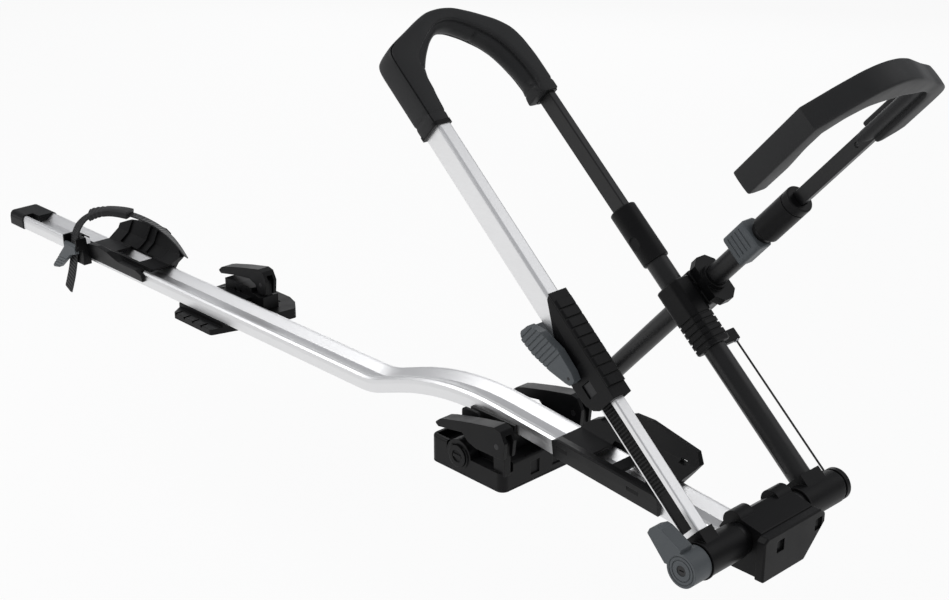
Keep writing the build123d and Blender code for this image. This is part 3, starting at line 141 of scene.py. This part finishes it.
def plastic(
    name, dark, light, rough, grain=PLASTIC_GRAIN, edge=PLASTIC_EDGE, sheen=PLASTIC_SHEEN, bump=PLASTIC_BUMP
):
    made, tree, shader = new_material(name)
    where = coordinates(tree, EVEN)
    fine = noise(tree, where, grain, 2.0)
    broad = noise(tree, where, PLASTIC_MOTTLE, 4.0)
    roughness = spread(tree, broad, rough - PLASTIC_SMOOTHER, rough + PLASTIC_ROUGHER)
    tree.links.new(tint(tree, broad, dark, light), shader.inputs["Base Color"])
    tree.links.new(roughness, shader.inputs["Roughness"])
    shader.inputs["Specular IOR Level"].default_value = sheen
    finish(tree, shader, rounded_edges(tree, edge) if edge else None, fine, bump, PLASTIC_DEPTH)
    return made


def metal(name, dark, light, rough, turn=0.0, stretch=METAL_BRUSHED):
    made, tree, shader = new_material(name)
    streak = noise(tree, coordinates(tree, stretch, turn), 1.0)
    broad = noise(tree, coordinates(tree, EVEN), METAL_MOTTLE)
    roughness = spread(tree, streak, rough - METAL_SMOOTHER, rough + METAL_ROUGHER)
    tree.links.new(tint(tree, broad, dark, light), shader.inputs["Base Color"])
    tree.links.new(roughness, shader.inputs["Roughness"])
    shader.inputs["Metallic"].default_value = 1.0
    finish(tree, shader, rounded_edges(tree, METAL_EDGE), streak, METAL_BUMP, METAL_DEPTH)
    return made


def wire_with_groove_shade():
    made, tree, shader = new_material("wire_strands")
    wave = tree.nodes.new("ShaderNodeTexWave")
    wave.bands_direction = "DIAGONAL"
    wave.inputs["Scale"].default_value = WIRE_LAY
    tree.links.new(coordinates(tree, EVEN, -LEAN), wave.inputs["Vector"])
    strands = wave.outputs["Fac"]
    # painted shade: the wave that sets the bump height also darkens the grooves of the lay and leaves the
    # crests lighter
    tree.links.new(tint(tree, strands, WIRE_GROOVE_SHADE, WIRE_CREST_TONE), shader.inputs["Base Color"])
    tree.links.new(spread(tree, strands, WIRE_SMOOTH, WIRE_ROUGH), shader.inputs["Roughness"])
    shader.inputs["Metallic"].default_value = WIRE_METALLIC
    finish(tree, shader, rounded_edges(tree, WIRE_EDGE), strands, WIRE_BUMP, WIRE_DEPTH)
    return made


BLACK = plastic("black_plastic", (0.0032, 0.0032, 0.0035), (0.0055, 0.0055, 0.006), 0.4, sheen=0.16)
SOFT_BLACK = plastic(
    "soft_black", (0.0155, 0.0158, 0.0165), (0.0215, 0.0218, 0.0225), 0.5, grain=2100.0, sheen=0.24
)
GREY = plastic("grey_plastic", (0.075, 0.084, 0.09), (0.092, 0.102, 0.109), 0.46)
STRAP = plastic(
    "strap_plastic", (0.008, 0.008, 0.009), (0.013, 0.013, 0.014), 0.36, edge=0.0004, sheen=0.25
)
RUBBER = plastic(
    "foot_rubber", (0.01, 0.01, 0.011), (0.016, 0.016, 0.017), 0.7, grain=1800.0, sheen=0.2
)
RAIL_METAL = metal("rail_anodised", (0.78, 0.78, 0.785), (0.84, 0.84, 0.845), 0.38)
LEG_METAL = metal("leg_anodised", (0.8, 0.8, 0.805), (0.86, 0.86, 0.865), 0.36, turn=-LEAN)
COATED = plastic(
    "black_coat", (0.004, 0.004, 0.0045), (0.006, 0.006, 0.0065), 0.36, edge=0.0, sheen=0.4, bump=0.0
)
ZINC = metal("zinc_steel", (0.4, 0.4, 0.42), (0.52, 0.52, 0.54), 0.34, stretch=METAL_SCATTERED)
PIN = plastic("dark_pin", (0.01, 0.01, 0.011), (0.016, 0.016, 0.017), 0.32)
WIRE = wire_with_groove_shade()

# every piece that isn't named here is black plastic
pieces_by_finish = (
    (RAIL_METAL, ("rail",)),
    (LEG_METAL, ("lower_bar", "upper_tube")),
    (COATED, (
        "axle_tube", "far_lower_tube", "far_upper_bar", "arm_tube", "arm_bar", "hook_core",
    )),
    (GREY, ("axle_lever", "buckle_lever", "ratchet_lever", "arm_trigger")),
    (ZINC, ("end_cap_screw", "wire_ferrule")),
    (PIN, (
        "buckle_pin", "front_lever_pin_near", "front_lever_pin_far", "rear_lever_pin",
        "lock_core", "ratchet_pin", "pawl",
    )),
    (WIRE, ("tie_wire",)),
    (RUBBER, ("front_foot_pad", "rear_foot_pad")),
)
finishes = {name: look for look, names in pieces_by_finish for name in names}
for name, piece in nodes.items():
    if not piece.material_slots:
        piece.data.materials.append(None)
    for each in piece.material_slots:
        each.link = "OBJECT"
        each.material = finishes.get(name, BLACK)


# soft pieces: closed skins swept along their outlines, with the folds and seams of their covers


SHARP_ANGLE = math.radians(34.0)
CRISP_SHARE = 0.2

LIP, TUCK = 3.0, 3.4
ROLL_TURNS = (76, 62, 48, 34, 20)
PINCH, BAND_DEPTH = 1.5, 1.0
END_STEPS = ((0.985, 0.45), (0.93, 0.85), (0.82, 1.0), (0.4, 1.05))


def skin(name, rings, level=0):
    """A closed mesh through rings of equal length, with a fan over each end."""
    mesh = bmesh.new()
    rows = [[mesh.verts.new(point * MM) for point in ring] for ring in rings]
    count = len(rings[0])
    for first, second in zip(rows, rows[1:]):
        for k in range(count):
            mesh.faces.new((first[k], first[(k + 1) % count], second[(k + 1) % count], second[k]))
    for row in (rows[0], rows[-1]):
        middle = mesh.verts.new(sum((v.co for v in row), Vector()) / count)
        for k in range(count):
            mesh.faces.new((row[k], row[(k + 1) % count], middle))
    bmesh.ops.recalc_face_normals(mesh, faces=mesh.faces)
    for edge in mesh.edges:
        edge.smooth = edge.calc_face_angle(0.0) < SHARP_ANGLE
    data = bpy.data.meshes.new(name)
    mesh.to_mesh(data)
    mesh.free()
    for polygon in data.polygons:
        polygon.use_smooth = True
    piece = bpy.data.objects.new(name, data)
    bpy.context.scene.collection.objects.link(piece)
    if level:
        smooth = piece.modifiers.new("smooth", "SUBSURF")
        smooth.levels = level
        smooth.render_levels = level
    return piece


def dress(piece, look, slot_name, body, *replaced):
    piece.data.materials.append(look)
    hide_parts(*replaced)
    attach(piece, body)


def eased_rows(pairs, place, step, passes, crisp=()):
    """Even steps between an outline's pairs of points, with its corners eased except the crisp ones."""
    rows, held = [], {0}
    for index in range(len(pairs) - 1):
        (outer, inner), (next_outer, next_inner) = (
            [place(*point) for point in pairs[k]] for k in (index, index + 1)
        )
        middles = (outer + inner) / 2.0, (next_outer + next_inner) / 2.0
        count = max(1, round((middles[1] - middles[0]).length / step))
        if index in crisp:
            held.add(len(rows))
        for k in range(count):
            rows.append((outer.lerp(next_outer, k / count), inner.lerp(next_inner, k / count)))
    rows.append((next_outer, next_inner))
    held.add(len(rows) - 1)
    for _ in range(passes):
        rows = [
            row if k in held else tuple(
                (before + here * 2.0 + after) / 4.0
                for before, here, after in zip(rows[k - 1], row, rows[k + 1])
            )
            for k, row in enumerate(rows)
        ]
    for k in sorted(held, reverse=True):
        if 0 < k < len(rows) - 1:
            before, after = (
                tuple(here.lerp(there, CRISP_SHARE) for here, there in zip(rows[k], rows[n]))
                for n in (k - 1, k + 1)
            )
            rows[k:k + 1] = [before, rows[k], after]
    return rows


def cover_section(row, out, half, corner, roll, seam, pinch):
    """One section of a covered pad: its outer shell with a chamfered, seamed corner and a rolled inside.

    The points run from the middle of the outer face over one side to the middle of the inner face,
    as (height above the inner face, distance from the middle plane), and are mirrored after that.
    roll is the lip's share of the thickness and how far the inside is rolled, from 0 to 1.
    """
    outer, inner = row
    side = (outer - inner).normalized()
    thick = (outer - inner).length
    share, rolled = roll
    lip = LIP + (thick * share - LIP) * rolled
    tuck = TUCK * rolled
    points = [
        (thick + 0.5, 0.0),
        (thick + 0.4, half * 0.4),
        (thick, half - corner),
        (thick - corner * 0.09, half - corner * 0.55),
        (thick - corner * 0.25, half - corner * 0.27),
        (thick - corner * 0.42, half - corner * (0.16 + 0.5 * seam)),
        (thick - corner * 0.6, half - corner * 0.07),
        (thick - corner, half),
        (thick * 0.7 + lip * 0.3, half + 0.4),
        (lip + 6.0, half + 0.3),
        (lip + 2.4, half - 0.2),
        (lip + 0.7, half - 1.0),
        (lip, half - 2.4),
        (lip + 0.4 * rolled, half - 2.6 - tuck),
    ]
    top = half - 2.7 - tuck
    power = 2.0 + 1.4 * (1.0 - rolled)
    for turn in ROLL_TURNS:
        high = math.sin(math.radians(turn)) ** (2.0 / power)
        deep = math.cos(math.radians(turn)) ** (2.0 / power)
        points.append((lip * (1.0 - deep) + pinch, top * high - pinch * 0.6))
    points.append((pinch, 0.0))
    whole = points + [(a, -b) for a, b in reversed(points[1:-1])]
    return [inner + side * a + out * b for a, b in whole]


def closed_end(ring, ahead, depth):
    """Rings that close a swept pad with a rounded edge."""
    middle = sum(ring, Vector()) / len(ring)
    return [
        [middle + (point - middle) * share + ahead * (depth * rise) for point in ring]
        for share, rise in END_STEPS
    ]


def covered_pad(name, rows, out, half, corner, roll_at, seam_at, bands, pinches, end_depth):
    """A pad swept through rows: bands are the rows drawn in all round, pinches those sewn in inside."""
    rings = []
    last = len(rows) - 1
    for k, row in enumerate(rows):
        along = k / last
        pinch = PINCH if k in pinches else 0.0
        ring = cover_section(row, out, half, corner, roll_at(along), seam_at(along), pinch)
        if k in bands:
            middle = sum(ring, Vector()) / len(ring)
            ring = [point - (point - middle).normalized() * BAND_DEPTH for point in ring]
        rings.append(ring)
    middles = [(outer + inner) / 2.0 for outer, inner in rows]
    first = closed_end(rings[0], (middles[0] - middles[1]).normalized(), end_depth)
    final = closed_end(rings[-1], (middles[-1] - middles[-2]).normalized(), end_depth)
    return skin(name, first[::-1] + rings + final)


def ramp(value, low, high):
    """0 at low and 1 at high, even between them and level beyond."""
    return min(max((value - low) / (high - low), 0.0), 1.0)


# the head's cushion: pairs of an outer and an inner point, as shares of the head's width and height


HEAD_LOW, HEAD_WIDE, HEAD_BASE, HEAD_HIGH = -106.0, 208.0, 562.5, 145.8
HEAD_HALF, HEAD_CORNER, HEAD_END = 16.9, 5.5, 1.6
HEAD_STEP, HEAD_PASSES = 3.0, 5
HEAD_BAND_FIRST, HEAD_BAND_LAST = 5, 4
HEAD_PINCHES = (0.235, 0.66)
head_pairs = [
    ((0, -0.025), (0.135, -0.025)), ((0, 0.274), (0.155, 0.253)), ((0, 0.481), (0.185, 0.398)),
    ((0, 0.626), (0.235, 0.523)), ((0.012, 0.699), (0.27, 0.585)), ((0.06, 0.751), (0.3, 0.637)),
    ((0.2, 0.844), (0.36, 0.725)), ((0.33, 0.933), (0.42, 0.792)), ((0.42, 0.984), (0.47, 0.829)),
    ((0.52, 1), (0.53, 0.839)), ((0.62, 0.984), (0.58, 0.824)), ((0.74, 0.907), (0.655, 0.746)),
    ((0.88, 0.792), (0.73, 0.626)), ((0.955, 0.689), (0.765, 0.533)), ((0.985, 0.564), (0.795, 0.429)),
    ((1, 0.377), (0.825, 0.294)), ((1, 0.17), (0.84, 0.149)), ((1, 0.04), (0.85, 0.04)),
]


def head_place(a, b):
    return AXLE + LEG * (HEAD_BASE + b * HEAD_HIGH) + ACROSS * (HEAD_LOW + a * HEAD_WIDE)


def head_roll(along):
    return 0.27, min(ramp(along, 0.13, 0.24), ramp(along, 0.995, 0.94))


def head_seam(along):
    return ramp(along, 0.33, 0.3)


head_rows = eased_rows(head_pairs, head_place, HEAD_STEP, HEAD_PASSES)
head_last = len(head_rows) - 1
head_bands = (HEAD_BAND_FIRST, head_last - HEAD_BAND_LAST)
head_pinches = [round(head_last * share) for share in HEAD_PINCHES]
head = covered_pad(
    "head_cushion", head_rows, SQUARE, HEAD_HALF, HEAD_CORNER, head_roll, head_seam, head_bands,
    head_pinches, HEAD_END
)
dress(head, SOFT_BLACK, "black_rubber", "hoop_upper", "head_frame", "head_pad")


# the hook's cushion: the same kind of pairs, with one crisp corner and no seam in its edge


HOOK_LOW, HOOK_WIDE, HOOK_BASE, HOOK_HIGH = -77.0, 227.0, 295.0, 156.0
HOOK_HALF, HOOK_CORNER, HOOK_END = 13.4, 3.0, 1.4
HOOK_STEP, HOOK_PASSES, HOOK_CRISP = 3.0, 4, (3,)
hook_pairs = [
    ((0.0, 0.03), (0.148, 0.03)), ((0.0, 0.27), (0.157, 0.24)), ((0.0, 0.5), (0.125, 0.46)),
    ((0.0, 0.7), (0.125, 0.6)), ((0.143, 0.85), (0.2, 0.7)), ((0.26, 0.95), (0.3, 0.765)),
    ((0.34, 0.985), (0.36, 0.77)), ((0.418, 0.995), (0.42, 0.77)), ((0.5, 0.985), (0.49, 0.77)),
    ((0.6, 0.945), (0.57, 0.765)), ((0.812, 0.81), (0.73, 0.72)), ((0.94, 0.74), (0.795, 0.67)),
    ((0.99, 0.68), (0.812, 0.6)), ((1.0, 0.55), (0.812, 0.45)), ((1.0, 0.285), (0.812, 0.09)),
]


def hook_place(a, b):
    out = SQUARE * (HOOK_BASE + b * HOOK_HIGH)
    return AXLE + LEG * ARM_ALONG + out + ACROSS * (HOOK_LOW + a * HOOK_WIDE)


def hook_roll(along):
    return 0.3, ramp(along, 0.66, 0.74)


def no_seam(_):
    return 0.0


hook_rows = eased_rows(hook_pairs, hook_place, HOOK_STEP, HOOK_PASSES, HOOK_CRISP)
hook = covered_pad(
    "hook_cushion", hook_rows, LEG, HOOK_HALF, HOOK_CORNER, hook_roll, no_seam, (), (), HOOK_END
)
dress(hook, SOFT_BLACK, "black_rubber", "hook", "hook_pad")


# strap with its ladder teeth, and the ribbed pad that it carries: each route row is a point and the
# direction that the strap's toothed side faces there, and positions along the route count its rows


STRAP_END, STRAP_STEPS = 10.98, 264
TOOTHED_FROM, WIDE_FROM = 144, 100
TOOTH, FAINT_TOOTH = 0.8, 0.35
STRAP_WIDE, STRAP_NARROW = 10.1, 8.4
STRAP_BACK, STRAP_FACE = -1.2, 0.4
BORDER, TOOTH_INSET = 1.3, 1.6
LOOK_AHEAD = 0.02

PAD_START, PAD_STOP, PAD_STEPS, PAD_SIDES = 4.02, 5.98, 36, 20
PAD_HALF, PAD_RISE, PAD_POWER = 13.6, 6.2, 5.0
PAD_TIP = (11.5, 4.0, 4.0)
RIB, RIBBED_FROM = 0.8, 20

strap_route = [
    ((-766, 42.5, 51), (0.5, 1, 0.9)), ((-786, 41.5, 66), (0.5, 0.8, 1.0)),
    ((-810, 39, 79), (0.5, 0.6, 1.2)), ((-838, 31, 92), (0.3, 0.35, 1.2)),
    ((-872, 13, 103), (0, 0, 1)), ((-904, -8, 105), (-0.25, -0.15, 1)),
    ((-930, -27, 96), (-0.3, -0.65, 1)), ((-945, -40, 78), (-0.15, -1.0, 0.5)),
    ((-951, -46, 56), (0, -1, 0.1)), ((-956, -46.5, 30), (0, -1, 0)),
    ((-969, -46.5, -6), (0, -1, 0)), ((-986, -46.5, -41), (0, -1, 0)),
]


def mixed(before, first, second, after, share):
    """The point at a share of the way from first to second on a smooth curve through all four."""
    square, cube = share * share, share * share * share
    return 0.5 * (
        first * 2.0 + (second - before) * share
        + (before * 2.0 - first * 5.0 + second * 4.0 - after) * square
        + (first * 3.0 - before - second * 3.0 + after) * cube
    )


def route_at(position):
    last = len(strap_route) - 1
    index = min(int(position), last - 1)
    share = position - index
    picks = [min(max(index + k, 0), last) for k in (-1, 0, 1, 2)]
    points = [Vector(strap_route[k][0]) for k in picks]
    normals = [Vector(strap_route[k][1]).normalized() for k in picks]
    return mixed(*points, share), mixed(*normals, share)


def strap_frames(first, last, count):
    """The strap's middle, its sideways direction and its outward direction at even positions."""
    found = []
    for step in range(count + 1):
        position = first + (last - first) * step / count
        point, normal = route_at(position)
        ahead, _ = route_at(min(position + LOOK_AHEAD, len(strap_route) - 1))
        back, _ = route_at(max(position - LOOK_AHEAD, 0.0))
        along = (ahead - back).normalized()
        across = along.cross(normal).normalized()
        found.append((point, across, across.cross(along).normalized()))
    return found


strap_rings = []
for index, (point, across, out) in enumerate(strap_frames(0.0, STRAP_END, STRAP_STEPS)):
    share = 1.0 if index > TOOTHED_FROM else FAINT_TOOTH
    tooth = TOOTH * share if index % 4 < 2 else 0.0
    half = STRAP_WIDE if index > WIDE_FROM else STRAP_NARROW
    section = [
        (half, STRAP_BACK), (half, STRAP_FACE),
        (half - BORDER, STRAP_FACE), (half - TOOTH_INSET, STRAP_FACE + tooth),
    ]
    section += [(-side, rise) for side, rise in reversed(section)]
    strap_rings.append([point + across * side + out * rise for side, rise in section])
strap = skin("ladder_strap", strap_rings)
for polygon in strap.data.polygons:
    polygon.use_smooth = False
dress(strap, STRAP, "black_plastic", "rear_cradle", "strap")


def pad_section(frame_of, side, rise, power):
    """A rounded rectangle of the given half width and half height; a higher power squares it."""
    point, across, out = frame_of
    ring = []
    for step in range(PAD_SIDES):
        angle = 2.0 * math.pi * (step + 0.5) / PAD_SIDES
        cosine, sine = math.cos(angle), math.sin(angle)
        wide = math.copysign(abs(cosine) ** (2.0 / power), cosine) * side
        high = math.copysign(abs(sine) ** (2.0 / power), sine) * rise
        ring.append(point + across * wide + out * high)
    return ring


pad_frames = strap_frames(PAD_START, PAD_STOP, PAD_STEPS)
pad_rows = [pad_section(pad_frames[0], *PAD_TIP)]
for index, each in enumerate(pad_frames):
    drawn_in = RIB if (index // 2) % 2 and index > RIBBED_FROM else 0.0
    pad_rows.append(pad_section(each, PAD_HALF - drawn_in, PAD_RISE - drawn_in, PAD_POWER))
pad_rows.append(pad_section(pad_frames[-1], *PAD_TIP))
rim_pad = skin("rim_pad", pad_rows, 1)
dress(rim_pad, SOFT_BLACK, "black_rubber", "rear_cradle", "strap_pad")


# studio: pale floor, soft lights and a pale surround


FLOOR_Z, FLOOR_REACH = -0.3, 30
FLOOR_DARK, FLOOR_LIGHT = (0.9, 0.9, 0.9), (0.93, 0.93, 0.93)
FLOOR_MOTTLE, FLOOR_ROUGH = 14.0, 0.9
FLOOR_SEEN, FLOOR_MIRRORED = 0.9, 0.7

SKY_COLOUR = (0.96, 0.97, 1.0, 1.0)
SKY_HORIZON, SKY_TOP, SKY_SEEN = 0.38, 0.46, 1.0
SKY_LOW, SKY_HIGH = 0.1, 0.9


def pale_floor():
    """Diffuse and shadowed, with a share of plain white where the camera or a mirror image sees it."""
    made, tree, shader = new_material("pale_floor")
    fine = noise(tree, coordinates(tree, EVEN), FLOOR_MOTTLE)
    tree.links.new(tint(tree, fine, FLOOR_DARK, FLOOR_LIGHT), shader.inputs["Base Color"])
    shader.inputs["Roughness"].default_value = FLOOR_ROUGH
    output = tree.nodes["Material Output"]
    glow = tree.nodes.new("ShaderNodeEmission")
    glow.inputs["Color"].default_value = WHITE
    glow.inputs["Strength"].default_value = 1.0
    rays = tree.nodes.new("ShaderNodeLightPath")
    mirrored = tree.nodes.new("ShaderNodeMath")
    mirrored.operation = "MULTIPLY"
    mirrored.inputs[1].default_value = FLOOR_MIRRORED
    tree.links.new(rays.outputs["Is Glossy Ray"], mirrored.inputs[0])
    share = tree.nodes.new("ShaderNodeMath")
    share.operation = "MULTIPLY_ADD"
    share.inputs[1].default_value = FLOOR_SEEN
    tree.links.new(rays.outputs["Is Camera Ray"], share.inputs[0])
    tree.links.new(mirrored.outputs["Value"], share.inputs[2])
    mix = tree.nodes.new("ShaderNodeMixShader")
    tree.links.new(share.outputs["Value"], mix.inputs["Fac"])
    tree.links.new(shader.outputs["BSDF"], mix.inputs[1])
    tree.links.new(glow.outputs["Emission"], mix.inputs[2])
    tree.links.new(mix.outputs["Shader"], output.inputs["Surface"])
    return made


floor_mesh = bmesh.new()
for x, y in ((-1, -1), (1, -1), (1, 1), (-1, 1)):
    floor_mesh.verts.new((x * FLOOR_REACH, y * FLOOR_REACH, FLOOR_Z))
floor_mesh.faces.new(floor_mesh.verts)
floor_data = bpy.data.meshes.new("floor")
floor_mesh.to_mesh(floor_data)
floor_mesh.free()
floor = bpy.data.objects.new("floor", floor_data)
floor_data.materials.append(pale_floor())
bpy.context.scene.collection.objects.link(floor)

world = bpy.data.worlds.new("surround")
bpy.context.scene.world = world
world.use_nodes = True
sky_tree = world.node_tree
sky = sky_tree.nodes["Background"]
sky.inputs["Color"].default_value = SKY_COLOUR
direction = sky_tree.nodes.new("ShaderNodeTexCoord")
height = sky_tree.nodes.new("ShaderNodeSeparateXYZ")
sky_tree.links.new(direction.outputs["Generated"], height.inputs["Vector"])
level = sky_tree.nodes.new("ShaderNodeMapRange")
level.inputs["From Min"].default_value = SKY_LOW
level.inputs["From Max"].default_value = SKY_HIGH
level.inputs["To Min"].default_value = SKY_HORIZON
level.inputs["To Max"].default_value = SKY_TOP
sky_tree.links.new(height.outputs["Z"], level.inputs["Value"])
sky_tree.links.new(level.outputs["Result"], sky.inputs["Strength"])
seen = sky_tree.nodes.new("ShaderNodeBackground")
seen.inputs["Color"].default_value = WHITE
seen.inputs["Strength"].default_value = SKY_SEEN
sky_rays = sky_tree.nodes.new("ShaderNodeLightPath")
sky_mix = sky_tree.nodes.new("ShaderNodeMixShader")
sky_tree.links.new(sky_rays.outputs["Is Camera Ray"], sky_mix.inputs["Fac"])
sky_tree.links.new(sky.outputs["Background"], sky_mix.inputs[1])
sky_tree.links.new(seen.outputs["Background"], sky_mix.inputs[2])
sky_tree.links.new(sky_mix.outputs["Shader"], sky_tree.nodes["World Output"].inputs["Surface"])


def aimed(name, data, place, facing):
    """A lamp or a camera at a place, looking along the direction that it faces."""
    made = bpy.data.objects.new(name, data)
    made.location = place
    made.rotation_mode = "QUATERNION"
    made.rotation_quaternion = facing.to_track_quat("-Z", "Y")
    bpy.context.scene.collection.objects.link(made)
    return made


def soft_light(name, place, target, power, width, depth):
    data = bpy.data.lights.new(name, "AREA")
    data.shape = "RECTANGLE"
    data.size = width
    data.size_y = depth
    data.energy = power
    aimed(name, data, place, Vector(target) - Vector(place))


soft_light("top", (-1.6, -0.8, 2.9), (-0.5, 0.0, 0.1), 22.0, 3.2, 2.2)
soft_light("left_key", (-2.2, -2.4, 2.2), (-0.3, 0.0, 0.1), 34.0, 2.2, 1.8)
soft_light("front_fill", (3.0, -0.6, 1.4), (0.1, 0.0, 0.2), 7.0, 1.4, 1.6)
soft_light("back_rim", (1.9, 2.6, 2.8), (0.1, 0.0, 0.3), 17.0, 3.4, 2.4)
soft_light("back_low", (-2.8, 3.0, 0.8), (-0.6, 0.0, 0.1), 13.0, 3.0, 1.0)

# the camera that was fitted to the photograph
AZIMUTH, ELEVATION = math.radians(46.36), math.radians(21.87)
CAMERA_PLACE = (1.2882, -1.2883, 0.9432)
SENSOR, LENS = 36.0, 61.7
back = Vector((
    math.sin(AZIMUTH) * math.cos(ELEVATION),
    -math.cos(AZIMUTH) * math.cos(ELEVATION),
    math.sin(ELEVATION),
))
camera_data = bpy.data.cameras.new("camera")
camera_data.sensor_width = SENSOR
camera_data.lens = LENS
bpy.context.scene.camera = aimed("camera", camera_data, CAMERA_PLACE, -back)
bpy.context.scene.view_settings.view_transform = "Standard"
